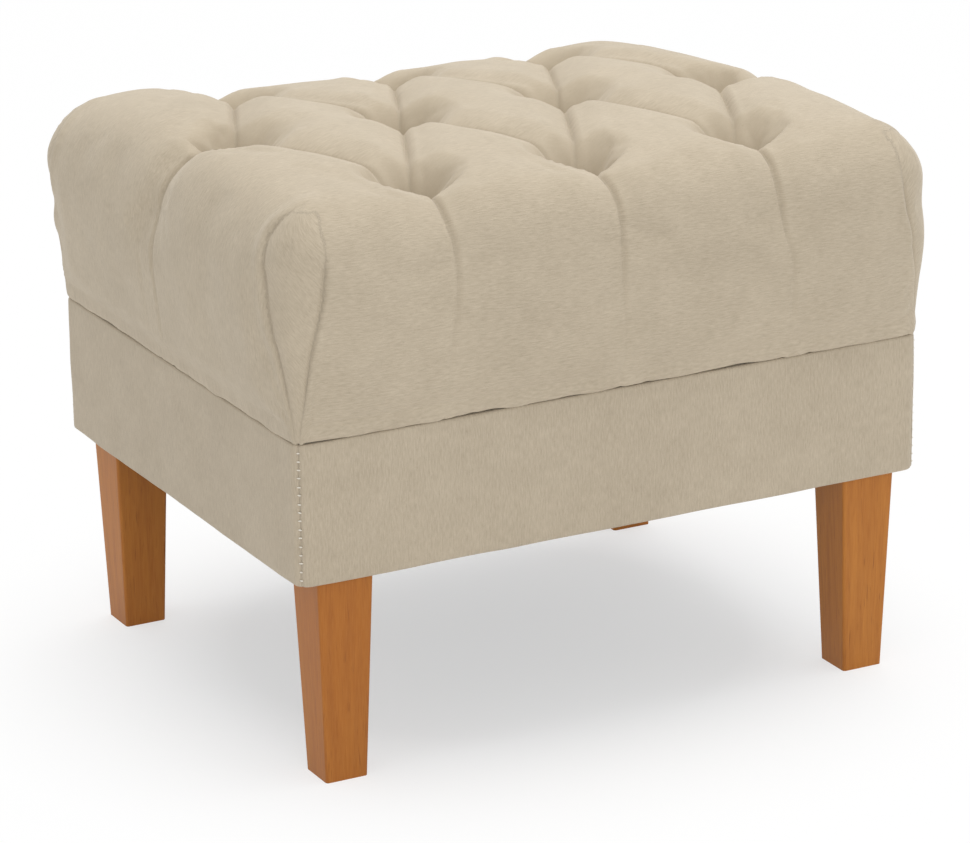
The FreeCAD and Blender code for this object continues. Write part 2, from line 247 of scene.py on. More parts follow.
# ---- finishes
def ribbedChenille(name, dark, light, seedShift):
    # short-pile upholstery cloth: a fine rib across the weave attribute, soft shading of the pile, and
    # painted shade from the shade attribute in the folds
    finish = Finish(name, 0.86, Sheen_Weight=0.35, Sheen_Roughness=0.45, Specular_IOR_Level=0.25)
    finish.shader.inputs["Sheen Tint"].default_value = (1.0, 0.93, 0.82, 1)
    weave = finish.node("ShaderNodeAttribute", {"attribute_name": "weave"}, out="Vector")
    place = finish.places()
    broad = finish.noise(finish.stretched(place, (9, 9, 9), (seedShift, 0, 0)), 3, 0.55)
    cloud = finish.noise(finish.stretched(place, (38, 38, 38), (0, seedShift, 0)), 4, 0.6)
    streak = finish.noise(finish.stretched(weave, (45, 420, 0), (seedShift, 3, 0)), 3, 0.6)
    rib = finish.noise(finish.stretched(weave, (150, 850, 0), (7, seedShift, 0)), 2, 0.5)
    pile = finish.noise(finish.stretched(place, (1700, 1700, 1700)), 2, 0.6)
    fleck = finish.noise(finish.stretched(place, (420, 420, 420), (2, 0, seedShift)), 1, 0.5)
    # painted shade: the shade attribute darkens the cloth in the creases, pits, pleats and along the corner
    # panels' edges, and on the buttons
    paintedShade = finish.node("ShaderNodeAttribute", {"attribute_name": "shade"}, out="Fac")
    # the rib is hardly seen on the slopes round a tuft
    plain = 1.0 - finish.node("ShaderNodeAttribute", {"attribute_name": "calm"}, out="Fac") * 0.85
    share = 0.5 + (broad - 0.5) * 0.5 + (cloud - 0.5) * 0.55
    share = share + ((streak - 0.5) * 0.35 + (rib - 0.5) * 1.25) * plain
    share = share + (pile - 0.5) * 0.6 - finish.ranged(fleck, 0.70, 0.80) * 0.25
    cloth = finish.mix(share, dark, light)
    finish.feed("Base Color", finish.mix(paintedShade * 0.42, cloth, tuple(part * 0.42 for part in dark)))
    finish.feed("Roughness", 0.9 - cloud * 0.12)
    soft = finish.bump((streak * 0.4 + rib) * plain, 0.0005, 0.7)
    finish.feed("Normal", finish.bump(pile, 0.0003, 0.45, soft))
    return finish.material


def honeyWood():
    finish = Finish("honeyWood", 0.45, Coat_Weight=0.06, Coat_Roughness=0.3, Specular_IOR_Level=0.22)
    place = finish.places()
    wander = finish.noise(finish.stretched(place, (16, 16, 3)), 2, 0.5)
    grain = finish.noise(finish.stretched(place, (210, 210, 9)), 4, 0.6, 0.6)
    fibre = finish.noise(finish.stretched(place, (1500, 1500, 34)), 3, 0.6)
    pore = finish.noise(finish.stretched(place, (900, 900, 26), (4, 9, 2)), 2, 0.5)
    body = finish.mix(finish.ranged(wander, 0.3, 0.7), (0.380, 0.124, 0.016), (0.470, 0.176, 0.028))
    body = finish.mix(finish.ranged(grain, 0.35, 0.72) * 0.6, body, (0.29, 0.083, 0.011))
    body = finish.mix(finish.ranged(fibre, 0.3, 0.75) * 0.3, body, (0.56, 0.245, 0.058))
    dots = finish.ranged(pore, 0.64, 0.74)
    body = finish.mix(dots * 0.55, body, (0.17, 0.045, 0.008))
    finish.feed("Base Color", body)
    finish.feed("Roughness", 0.38 + fibre * 0.14)
    finish.feed("Normal", finish.bump(fibre - dots * 0.8, 0.00012, 0.35))
    return finish.material


def plainTimber(name, dark, light, scale):
    finish = Finish(name, 0.7)
    grain = finish.noise(finish.stretched(finish.places(), scale), 4, 0.6, 0.8)
    finish.feed("Base Color", finish.mix(finish.ranged(grain, 0.3, 0.7), dark, light))
    finish.feed("Normal", finish.bump(grain, 0.0003, 0.3))
    return finish.material


def openCell(name, dark, light, scale, depth):
    finish = Finish(name, 0.95)
    cells = finish.noise(finish.stretched(finish.places(), (scale, scale, scale)), 3, 0.6)
    finish.feed("Base Color", finish.mix(cells, dark, light))
    finish.feed("Normal", finish.bump(cells, depth, 0.6))
    return finish.material


def steel(name, colour, roughness):
    finish = Finish(name, roughness, Metallic=1.0)
    worn = finish.noise(finish.stretched(finish.places(), (300, 300, 300)), 3, 0.5)
    finish.feed("Base Color", finish.mix(worn, tuple(0.75 * part for part in colour), colour))
    finish.feed("Roughness", roughness + (worn - 0.5) * 0.2)
    return finish.material


def nonWoven():
    finish = Finish("nonWovenBlack", 0.85)
    place = finish.places()
    fibres = finish.noise(finish.stretched(place, (700, 180, 700)), 4, 0.7, 1.5)
    spots = finish.node("ShaderNodeTexVoronoi", {}, {"Vector": place, "Scale": 520.0})
    finish.feed("Base Color", finish.mix(fibres, (0.012, 0.012, 0.013), (0.05, 0.05, 0.052)))
    finish.feed("Normal", finish.bump(fibres + spots * 0.4, 0.0002, 0.5))
    return finish.material


def twistedThread():
    finish = Finish("paleThread", 0.7, Sheen_Weight=0.2)
    twist = finish.noise(finish.stretched(finish.places(), (2500, 2500, 2500)), 2, 0.5)
    finish.feed("Base Color", finish.mix(twist, (0.62, 0.56, 0.46), (0.86, 0.82, 0.73)))
    finish.feed("Normal", finish.bump(twist, 0.0002, 0.5))
    return finish.material


cushionCloth = ribbedChenille("cushionChenille", (0.40, 0.335, 0.245), (0.555, 0.475, 0.360), 0.0)
railCloth = ribbedChenille("railChenille", (0.39, 0.325, 0.238), (0.54, 0.462, 0.350), 5.3)
legWood = honeyWood()
pine = plainTimber("sawnPine", (0.52, 0.36, 0.20), (0.70, 0.53, 0.33), (60, 60, 14))
plywood = plainTimber("plywood", (0.50, 0.35, 0.20), (0.66, 0.50, 0.32), (14, 60, 300))
foamFinish = openCell("cushionFoam", (0.70, 0.63, 0.42), (0.86, 0.80, 0.60), 600, 0.0006)
waddingFinish = openCell("wadding", (0.78, 0.78, 0.76), (0.92, 0.92, 0.90), 260, 0.0012)
zincSteel = steel("zincSteel", (0.72, 0.72, 0.70), 0.35)
stapleWire = steel("stapleWire", (0.62, 0.62, 0.62), 0.45)
dustCloth = nonWoven()
thread = twistedThread()
print("finishes made")

# ---- the cushion's form, in metres
cushion = {
    # the block that it is formed from
    "voxel": 0.005,
    "smoothings": 4,
    "cornerRadius": 0.034,
    "topRound": 0.046,
    "bottomRound": 0.003,
    "seamGap": 0.0002,
    # sides
    "seamCorner": 0.010,
    "seamDrawIn": -0.0004,
    "bulge": 0.013,
    "widest": 0.118,
    "foot": 0.013,
    "footPower": 2.2,
    "pucker": 0.0007,
    "uneven": 0.0011,
    # crown
    "crestLine": -0.085,
    "fallFront": 0.006,
    "fallBack": 0.029,
    "fallBackPower": 2.6,
    "fallEnds": 0.003,
    "fallCorner": 0.018,
    "fallRight": 0.0025,
    "dipRight": 0.003,
    "fallPillows": 0.0042,
    "leanRight": 0.0045,
    "liftLeft": 0.0086,
    "fullLeft": 0.0064,
    # tufts, folds and pleats: a broad hollow with a closer one in it
    "joining": 3.0,
    "softBottom": 0.0022,
    "broad": {"tuftReach": 0.072, "reach": 0.046, "power": 2.0, "tuft": 0.012, "fold": 0.004, "pleat": 0.006},
    "close": {"tuftReach": 0.044, "reach": 0.024, "power": 1.5, "tuft": 0.052, "fold": 0.008, "pleat": 0.007},
    "gather": 0.0014,
    "gatherReach": 0.022,
    "crease": 0.0036,
    "creaseReach": 0.0038,
    "creaseLip": 0.4,
    "pleatRun": 0.115,
    "pleatSway": 0.0022,
    "pleatLine": 0.0038,
    "pleatLineFade": 0.17,
    "pleatLineReach": 0.0045,
    "lip": 0.0013,
    "lipPlace": 0.0040,
    "lipWidth": 0.0028,
    "lipFade": 0.16,
    "sidePleat": 0.0008,
    # corner panels
    "panelLong": 0.028,
    "panelShort": 0.034,
    "panelTopLong": 0.034,
    "panelTopShort": 0.006,
    "panelTurn": 0.22,
    "panelRecess": 0.0024,
    "panelSwell": 0.0015,
    "panelGroove": 0.0018,
    "panelLip": 0.0010,
    # painted shade in the folds, pits, pleats and along the corner panels' edges, and how far the rib is lost
    # round a tuft
    "tuftDark": 0.85,
    "tuftDarkReach": 0.030,
    "foldDark": 0.45,
    "pleatDark": 0.7,
    "pleatDarkRun": 0.13,
    "panelDark": 0.33,
    "darkWidth": 0.0017,
    "calmFrom": 0.060,
    "calmTo": 0.028,
}
air = {
    "pressure": 3.0,
    "frames": 16,
    "heldRadius": 0.012,
    "freeRadius": 0.022,
    "heldHeight": 0.006,
    "freeHeight": 0.02,
    "most": 0.006,
    "mostAtCorner": 0.0015,
}
diagonals = []
for first in buttonPlaces:
    for second in buttonPlaces:
        apart = second - first
        if first[1] < second[1] - 0.01 and abs(apart[1]) < rowStep * 1.2 and abs(apart[0]) < halfPitch * 1.2:
            diagonals.append((first, second))
cushionTop = crest - 0.001
print("folds between tufts:", len(diagonals))


def roundedCushionBlock():
    # a block with round corners and a round top, remade of even squares
    bm = bmesh.new()
    bmesh.ops.create_cube(bm, size=1)
    low = railHigh + cushion["seamGap"]
    bmesh.ops.scale(bm, vec=(2 * halfWidth, 2 * halfDepth, cushionTop - low), verts=bm.verts)
    bmesh.ops.translate(bm, vec=(0, 0, (low + cushionTop) / 2), verts=bm.verts)
    roundOff(bm, uprightEdges(bm), cushion["cornerRadius"], 10)
    roundOff(bm, rimEdges(bm, cushionTop), cushion["topRound"], 10)
    roundOff(bm, rimEdges(bm, low), cushion["bottomRound"], 3)
    block = addMesh("cushionBlock", bm)
    remesh = block.modifiers.new("squares", "REMESH")
    remesh.mode = "VOXEL"
    remesh.voxel_size = cushion["voxel"]
    applyModifiers(block)
    bm = bmesh.new()
    bm.from_mesh(block.data)
    for _ in range(cushion["smoothings"]):
        bmesh.ops.smooth_vert(
            bm, verts=bm.verts, factor=0.5, use_axis_x=True, use_axis_y=True, use_axis_z=True
        )
    bm.to_mesh(block.data)
    bm.free()
    block.data.update()
    return block


def cornerPlace(rest):
    # how far round the corner a point lies: negative on the long faces, positive on the short ones
    radius = cushion["cornerRadius"]
    out = np.abs(rest[:, 0]) - (halfWidth - radius)
    ahead = np.abs(rest[:, 1]) - (halfDepth - radius)
    quarter = radius * math.pi / 4
    onArc = radius * (np.arctan2(out, ahead) - math.pi / 4)
    onLong = -quarter + out
    onShort = quarter - ahead
    place = np.where((out > 0) & (ahead > 0), onArc, np.where(ahead > out, onLong, onShort))
    return place, (out > -0.25) & (ahead > -0.25)


def panelEdges(place, height):
    # a corner's bias panel: nothing at the seam, wider upwards, turned in at the top on its short side
    short = place > 0
    top = cushionTop - np.where(short, cushion["panelTopShort"], cushion["panelTopLong"])
    share = np.clip((height - railHigh) / (top - railHigh), 0, 1.3)
    turned = 1 - cushion["panelTurn"] * ease(0.88, 1.06, share) * short
    half = np.where(short, cushion["panelShort"], cushion["panelLong"]) * share ** 0.6 * turned
    return half, top


def falling(distance, reach, power):
    # one at the fold, nothing at its reach, with a soft bottom
    soft = cushion["softBottom"]
    away = np.sqrt(distance ** 2 + soft ** 2) - soft
    return np.clip(1 - away / reach, 0, 1) ** power


def hump(value, centre, width):
    return np.exp(-(((value - centre) / width) ** 2))


def pleatPlaces(rest, drop, place):
    # along and across the pleat that runs from a tuft over its side, and which points are on that side
    x, y = rest[:, 0], rest[:, 1]
    if abs(place[1]) > rowStep / 2:
        return np.abs(y) + drop - abs(place[1]), x - place[0], np.sign(y) == np.sign(place[1])
    if abs(place[0]) > halfPitch * 2:
        return np.abs(x) + drop - abs(place[0]), y - place[1], np.sign(x) == np.sign(place[0])
    return None


def tuftDepth(rest, drop):
    # how far the tufting draws a point of the cushion in along its own normal, and how much painted shade it
    # gets in the pits, creases and pleats
    x, y = rest[:, 0], rest[:, 1]
    joining = cushion["joining"]
    darkWidth = cushion["darkWidth"]
    onTop = 1 - ease(0.03, 0.09, drop)
    sums = {"broad": np.zeros(len(rest)), "close": np.zeros(len(rest))}
    line = np.zeros(len(rest))
    shade = np.zeros(len(rest))

    def pull(kind, away, share):
        for layer in sums:
            form = cushion[layer]
            reach = form["tuftReach"] if kind == "tuft" else form["reach"]
            sums[layer] += (form[kind] * share * falling(away, reach, form["power"])) ** joining

    for place in buttonPlaces:
        away = np.hypot(x - place[0], y - place[1])
        pull("tuft", away, onTop)
        turn = np.arctan2(y - place[1], x - place[0])
        ring = hump(away, cushion["gatherReach"], 0.55 * cushion["gatherReach"])
        wrinkle = np.sin(turn * 5 + place[0] * 90) + 0.7 * np.sin(turn * 9 - place[0] * 50 + place[1] * 40)
        line += cushion["gather"] * wrinkle * ring * onTop
        shade = np.maximum(shade, cushion["tuftDark"] * falling(away, cushion["tuftDarkReach"], 1.7) * onTop)
    for number, (first, second) in enumerate(diagonals):
        run = second[:2] - first[:2]
        length = np.hypot(*run)
        share = np.clip(((x - first[0]) * run[0] + (y - first[1]) * run[1]) / length ** 2, 0, 1)
        side = ((x - first[0]) * run[1] - (y - first[1]) * run[0]) / length
        away = np.hypot(x - first[0] - share * run[0], y - first[1] - share * run[1])
        pull("fold", away, onTop)
        narrow = np.clip(1 - away / cushion["creaseReach"], 0, 1) ** 1.6
        turn = 1 if number % 2 else -1  # the fold lies over to one side or the other
        lip = cushion["creaseLip"] * hump(side * turn, 0.006, 0.003) * (away < 0.02)
        middle = np.sin(math.pi * np.clip(share, 0.02, 0.98)) ** 0.5
        line += cushion["crease"] * (narrow - lip) * onTop * middle
        shade = np.maximum(shade, cushion["foldDark"] * hump(away, 0, darkWidth) * onTop)
    for number, place in enumerate(buttonPlaces):
        places = pleatPlaces(rest, drop, place)
        if places is None:
            continue
        along, across, side = places
        past = np.clip(along, 0, None)
        across = across + cushion["pleatSway"] * np.sin(past * 38 + number * 2.1) * ease(0.04, 0.12, past)
        away = np.where(along > 0, np.abs(across), np.hypot(across, along))
        pull("pleat", away, side * hump(past, 0, cushion["pleatRun"]))
        fine = cushion["pleatLine"] * np.exp(-past / cushion["pleatLineFade"]) * ease(0.01, 0.03, past)
        narrow = np.clip(1 - np.abs(across) / cushion["pleatLineReach"], 0, 1) ** 1.6
        lip = cushion["lip"] * hump(across, cushion["lipPlace"], cushion["lipWidth"]) * ease(0.03, 0.08, past)
        beside = cushion["sidePleat"] * hump(across, 0.017 + 0.02 * past, 0.003) * ease(0.11, 0.16, past)
        line += np.where(side, fine * narrow - lip * np.exp(-past / cushion["lipFade"]) + beside, 0)
        dark = hump(across, 0, darkWidth) * hump(past, 0, cushion["pleatDarkRun"]) * ease(0, 0.01, past)
        shade = np.maximum(shade, np.where(side, cushion["pleatDark"] * dark, 0))
    drawn = sum(total ** (1 / joining) for total in sums.values())
    return np.minimum(drawn, cushionTop - pitFloor) + line, shade


def cornerFolds(rest):
    place, near = cornerPlace(rest)
    height = rest[:, 2]
    half, top = panelEdges(place, height)
    away = np.abs(place) - half
    shown = ease(top + 0.010, top - 0.014, height) * near
    fading = ease(railHigh, railHigh + 0.05, height)
    inside = 1 - ease(-0.0022, 0.0012, away)
    edge = hump(away, 0, 0.0018)
    groove = cushion["panelGroove"] * edge
    lip = cushion["panelLip"] * hump(away, 0.006, 0.0045) * (away > 0)
    swell = cushion["panelSwell"] * np.clip(1 - (place / np.maximum(half, 1e-4)) ** 2, 0, 1)
    recess = cushion["panelRecess"] * (0.25 + 0.75 * fading)
    depth = (recess - swell * fading) * inside + groove * fading - lip
    # painted shade along the panel's edges, fainter near the seam
    return shown * depth, shown * (0.3 + 0.7 * fading) * cushion["panelDark"] * edge


def fullShape(rest, drawn):
    # the sides are drawn in at the seam and full above it, and the plan's corners open out upwards
    radius = cushion["cornerRadius"]
    share = np.clip((rest[:, 2] - railHigh) / cushion["widest"], 0, 1)
    tight = cushion["seamCorner"] + (radius - cushion["seamCorner"]) * share ** 0.75
    out = -cushion["seamDrawIn"] + (cushion["bulge"] + cushion["seamDrawIn"]) * np.sin(math.pi / 2 * share)
    top = ease(cushionTop - cushion["topRound"] * 1.6, cushionTop, rest[:, 2])
    moved = drawn.copy()
    for axis, half in ((0, halfWidth), (1, halfDepth)):
        inner = half - radius
        away = np.abs(drawn[:, axis])
        flat = away * (half - tight) / inner
        bend = (half - tight) + (away - inner) * tight / radius
        shifted = np.where(away < inner, flat, bend) * (half + out) / half
        moved[:, axis] = np.sign(drawn[:, axis]) * (shifted * (1 - top) + away * (half + out) / half * top)
    return moved


def weavePlaces(rest, drop):
    # along and across the cloth's rib, as the one sheet is folded down over the four sides
    place, near = cornerPlace(rest)
    radius = cushion["cornerRadius"]
    out = np.abs(rest[:, 0]) - (halfWidth - radius)
    ahead = np.abs(rest[:, 1]) - (halfDepth - radius)
    toShort = (place > 0) & (out > 0)
    weave = np.zeros((len(rest), 3))
    weave[:, 0] = np.where(toShort, np.sign(rest[:, 0]) * (np.abs(rest[:, 0]) + drop), rest[:, 0])
    toLong = ~toShort & (ahead > 0)
    weave[:, 1] = np.where(toLong, np.sign(rest[:, 1]) * (np.abs(rest[:, 1]) + drop), rest[:, 1])
    half = panelEdges(place, rest[:, 2])[0]
    panel = (np.abs(place) < half) & near & (rest[:, 2] < cushionTop - cushion["panelTopShort"])
    bias = math.sqrt(0.5)
    weave[panel, 0] = (place[panel] + rest[panel, 2]) * bias
    weave[panel, 1] = (place[panel] - rest[panel, 2]) * bias
    return weave


def sinkOf(rest):
    # the crown is fullest a little in front of the middle, and falls away from there to all four sides
    crestLine = cushion["crestLine"]
    ahead = np.clip((crestLine - rest[:, 1]) / (halfDepth + crestLine), 0, None)
    behind = np.clip((rest[:, 1] - crestLine) / (halfDepth - crestLine), 0, None)
    across = rest[:, 0] / halfWidth
    back = rest[:, 1] / halfDepth
    atBack = ease(0.2, 0.9, behind)
    sink = cushion["fallFront"] * ahead ** 2 + cushion["fallBack"] * behind ** cushion["fallBackPower"]
    sink += cushion["fallEnds"] * ease(0.6, 1, np.abs(across))
    sink += cushion["fallCorner"] * ease(0.71, 0.98, across) * ease(0, 0.6, back)
    sink += cushion["fallRight"] * ease(0.85, 1, across) * ease(0.1, -0.3, back)
    sink += cushion["dipRight"] * hump(across, 0.8, 0.2) * hump(rest[:, 1], 0.03, 0.05)
    # the two pillows in the middle of the back are lower, and the one at its left end is fuller
    middle = np.sin(math.pi * rest[:, 0] / (2 * halfPitch)) ** 2 * (np.abs(rest[:, 0]) < 2 * halfPitch)
    sink += cushion["fallPillows"] * middle * atBack
    sink -= cushion["liftLeft"] * hump(across, -0.76, 0.2) * atBack
    return sink + cushion["leanRight"] * across


def tuftDistance(rest):
    return np.min([np.hypot(rest[:, 0] - place[0], rest[:, 1] - place[1]) for place in buttonPlaces], axis=0)


def formCushion(rest, normals, fine):
    drop = np.clip(cushionTop - rest[:, 2], 0, None)
    height = rest[:, 2] - railHigh
    depth, shade = tuftDepth(rest, drop)
    uneven = cushion["uneven"] * ripple(rest, 11, 0.085) + 0.5 * cushion["uneven"] * ripple(rest, 5, 0.04)
    sides = ease(0.01, 0.05, drop)
    pucker = cushion["pucker"] * ripple(rest * np.array([1, 1, 0.1]), 23, 0.022) * hump(height, 0, 0.018)
    depth = depth + uneven * (0.35 + 0.65 * sides) + pucker
    # the lower edge is pulled down close to the rail
    above = rest[:, 2] - rest[:, 2].min()
    down = above - cushion["foot"] * (above / cushion["foot"]) ** cushion["footPower"]
    down = np.where(above < cushion["foot"], down, 0)
    if fine:
        folds, dark = cornerFolds(rest)
        depth = depth + folds
        shade = np.maximum(shade, dark)
    shaped = fullShape(rest, rest - normals * depth[:, None])
    shaped[:, 2] -= sinkOf(rest) * ease(0.05, 0.14, height) + down
    backLeft = ease(-0.2, 0.9, rest[:, 1] / halfDepth) * ease(0.5, 1, -rest[:, 0] / halfWidth)
    shaped[:, 0] -= cushion["fullLeft"] * backLeft * ease(0.05, 0.17, height)
    seated = (tuftDistance(rest) < 0.03) & (drop < 0.06)
    shaped[seated, 2] = np.maximum(shaped[seated, 2], pitFloor)
    return shaped, shade


def inflate(piece, held):
    group = piece.vertex_groups.new(name="held")
    for index, weight in enumerate(held):
        if weight > 0.001:
            group.add([index], float(weight), "REPLACE")
    cloth = piece.modifiers.new("air", "CLOTH")
    settings = cloth.settings
    settings.quality = 4
    settings.mass = 0.25
    settings.tension_stiffness = 20
    settings.compression_stiffness = 20
    settings.shear_stiffness = 8
    settings.bending_stiffness = 0.6
    settings.use_pressure = True
    settings.uniform_pressure_force = air["pressure"]
    settings.vertex_group_mass = "held"
    settings.effector_weights.gravity = 0
    cloth.point_cache.frame_start = 1
    cloth.point_cache.frame_end = air["frames"]
    scene = bpy.context.scene
    for step in range(1, air["frames"] + 1):
        scene.frame_set(step)
    applyModifiers(piece)
    scene.frame_set(1)


def puffOf(block, rest, formed):
    # how far air under the cloth moves each point, held at the tufts and along the seam, and capped
    trial = block.copy()
    trial.data = block.data.copy()
    bpy.context.scene.collection.objects.link(trial)
    setCoords(trial.data, formed)
    atTufts = ease(air["freeRadius"], air["heldRadius"], tuftDistance(rest))
    atSeam = ease(railHigh + air["freeHeight"], railHigh + air["heldHeight"], rest[:, 2])
    inflate(trial, np.maximum(atTufts, atSeam))
    puff = coordsOf(trial.data) - formed
    bpy.data.objects.remove(trial)
    size = np.linalg.norm(puff, axis=1)
    print("cloth moved by up to %.1f mm" % (size.max() * 1000))
    place, near = cornerPlace(rest)
    corner = near * ease(0.06, 0.03, np.abs(place))
    most = air["most"] * (1 - corner) + air["mostAtCorner"] * corner
    return puff * (np.minimum(size, most) / np.maximum(size, 1e-9))[:, None]


def refineCreases(mesh):
    # smaller faces along the creases and corner folds, where the cloth turns sharply
    rest = coordsOf(mesh)
    shade = formCushion(rest, normalsOf(mesh), True)[1]
    bm = bmesh.new()
    bm.from_mesh(mesh)
    bm.verts.ensure_lookup_table()
    busy = {face for face in bm.faces if any(shade[vert.index] > 0.02 for vert in face.verts)}
    around = {near for face in busy for vert in face.verts for near in vert.link_faces}
    edges = [edge for edge in bm.edges if any(face in around for face in edge.link_faces)]
    bmesh.ops.subdivide_edges(bm, edges=edges, cuts=1, use_grid_fill=True)
    bm.to_mesh(mesh)
    bm.free()
    mesh.update()


def makeCushion():
    block = roundedCushionBlock()
    rest = coordsOf(block.data)
    normals = normalsOf(block.data)
    formed, _ = formCushion(rest, normals, False)
    puff = np.zeros_like(rest)
    puff = puffOf(block, rest, formed)
    writeAttribute(block.data, "rest", rest)
    writeAttribute(block.data, "puff", puff)
    finer = block.modifiers.new("finer", "SUBSURF")
    finer.levels = 1
    finer.render_levels = 1
    applyModifiers(block)
    refineCreases(block.data)
    rest = coordsOf(block.data)
    normals = normalsOf(block.data)
    formed, shade = formCushion(rest, normals, True)
    formed += readAttribute(block.data, "puff")
    drop = np.clip(cushionTop - rest[:, 2], 0, None)
    calm = ease(cushion["calmFrom"], cushion["calmTo"], tuftDistance(rest)) * (1 - ease(0.02, 0.06, drop))
    # painted shade in the folds, which darkens the cloth's colour
    writeAttribute(block.data, "shade", np.stack([shade, shade, shade], 1))
    writeAttribute(block.data, "calm", np.stack([calm, calm, calm], 1))
    writeAttribute(block.data, "weave", weavePlaces(rest, drop))
    setCoords(block.data, formed)
    block.data.attributes.remove(block.data.attributes["rest"])
    block.data.attributes.remove(block.data.attributes["puff"])
    smoothShade(block)
    block.name = "tuftedCover"
    block.data.name = "tuftedCover"
    block.data.materials.append(cushionCloth)
    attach(block, "root")
    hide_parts("tufted_cover")
    return block


inner = {"waddingUnder": 0.007, "foamUnder": 0.013, "voxel": 0.008, "fill": 0.9}


def makeInnerLayer(name, node, inset, finish):
    # wadding or foam: the cover's own form, smaller by what lies over it
    layer = bpy.data.objects.new(name, tuftedCover.data.copy())
    layer.data.materials.clear()
    bpy.context.scene.collection.objects.link(layer)
    setCoords(layer.data, coordsOf(layer.data) - normalsOf(layer.data) * inset)
    remesh = layer.modifiers.new("squares", "REMESH")
    remesh.mode = "VOXEL"
    remesh.voxel_size = inner["voxel"]
    applyModifiers(layer)
    smoothShade(layer)
    layer.data.name = name
    layer.data.materials.append(finish)
    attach(layer, "root")
    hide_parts(node)


tuftedCover = makeCushion()
makeInnerLayer("waddingLayer", "wadding", inner["waddingUnder"], waddingFinish)
makeInnerLayer("foamCore", "foam_block", inner["foamUnder"], foamFinish)
print("cushion made:", len(tuftedCover.data.polygons), "faces")

# ---- covered tufting buttons
button = {"radius": 0.0098, "height": 0.0068, "rim": 0.0022, "steps": 28, "shade": 0.45}


def makeButton(number, place):
    bm = bmesh.new()
    low = pitFloor + 0.0001
    spots = [(0, low), (button["radius"] * 0.8, low), (button["radius"], low + button["rim"])]
    for bend in (20, 40, 60, 75):
        angle = math.radians(bend)
        rise = button["rim"] + (button["height"] - button["rim"]) * math.sin(angle)
        spots.append((button["radius"] * math.cos(angle), low + rise))
    spots.append((0, low + button["height"]))
    verts = [bm.verts.new((place[0] + out, place[1], height)) for out, height in spots]
    for first, second in zip(verts, verts[1:]):
        bm.edges.new((first, second))
    bmesh.ops.spin(
        bm, geom=bm.verts[:] + bm.edges[:], cent=(place[0], place[1], 0), axis=(0, 0, 1),
        angle=2 * math.pi, steps=button["steps"], use_merge=True,
    )
    bmesh.ops.remove_doubles(bm, verts=bm.verts, dist=1e-6)
    bmesh.ops.recalc_face_normals(bm, faces=bm.faces)
    piece = addMesh("tuftButton%d" % number, bm)
    points = coordsOf(piece.data)
    centre = np.array([place[0], place[1], 0])
    turn = np.arctan2(points[:, 1] - centre[1], points[:, 0] - centre[0])
    out = np.hypot(points[:, 0] - centre[0], points[:, 1] - centre[1])
    gather = 1 + 0.025 * np.sin(turn * 9 + number) * ease(0.6, 1.0, out / button["radius"])
    points[:, :2] = centre[:2] + (points[:, :2] - centre[:2]) * gather[:, None]
    setCoords(piece.data, points)
    writeAttribute(piece.data, "weave", points)
    # painted shade: the whole button is darkened evenly by the cloth's shade attribute
    writeAttribute(piece.data, "shade", np.full_like(points, button["shade"]))
    rounder = piece.modifiers.new("rounder", "SUBSURF")
    rounder.levels = 1
    rounder.render_levels = 1
    applyModifiers(piece)
    smoothShade(piece)
    piece.data.materials.append(cushionCloth)
    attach(piece, "root")
    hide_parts("tuft_button_%d" % number)


for number, place in enumerate(buttonPlaces, start=1):
    makeButton(number, place)
print("buttons made")

# ---- rail cover: four panels of one sleeve, sewn at the corners
railCover = {
    "corner": 0.011,
    "edge": 0.0026,
    "turn": 0.024,
    "cloth": 0.0014,
    "cell": 0.009,
    "uneven": 0.0006,
    "seamRoll": 0.0006,
}
sides = {"front": (0, -1), "back": (0, 1), "left": (-1, 0), "right": (1, 0)}


def sliceAt(bm, place, normal):
    geom = bm.verts[:] + bm.edges[:] + bm.faces[:]
    bmesh.ops.bisect_plane(bm, geom=geom, plane_co=place, plane_no=normal, dist=1e-6)


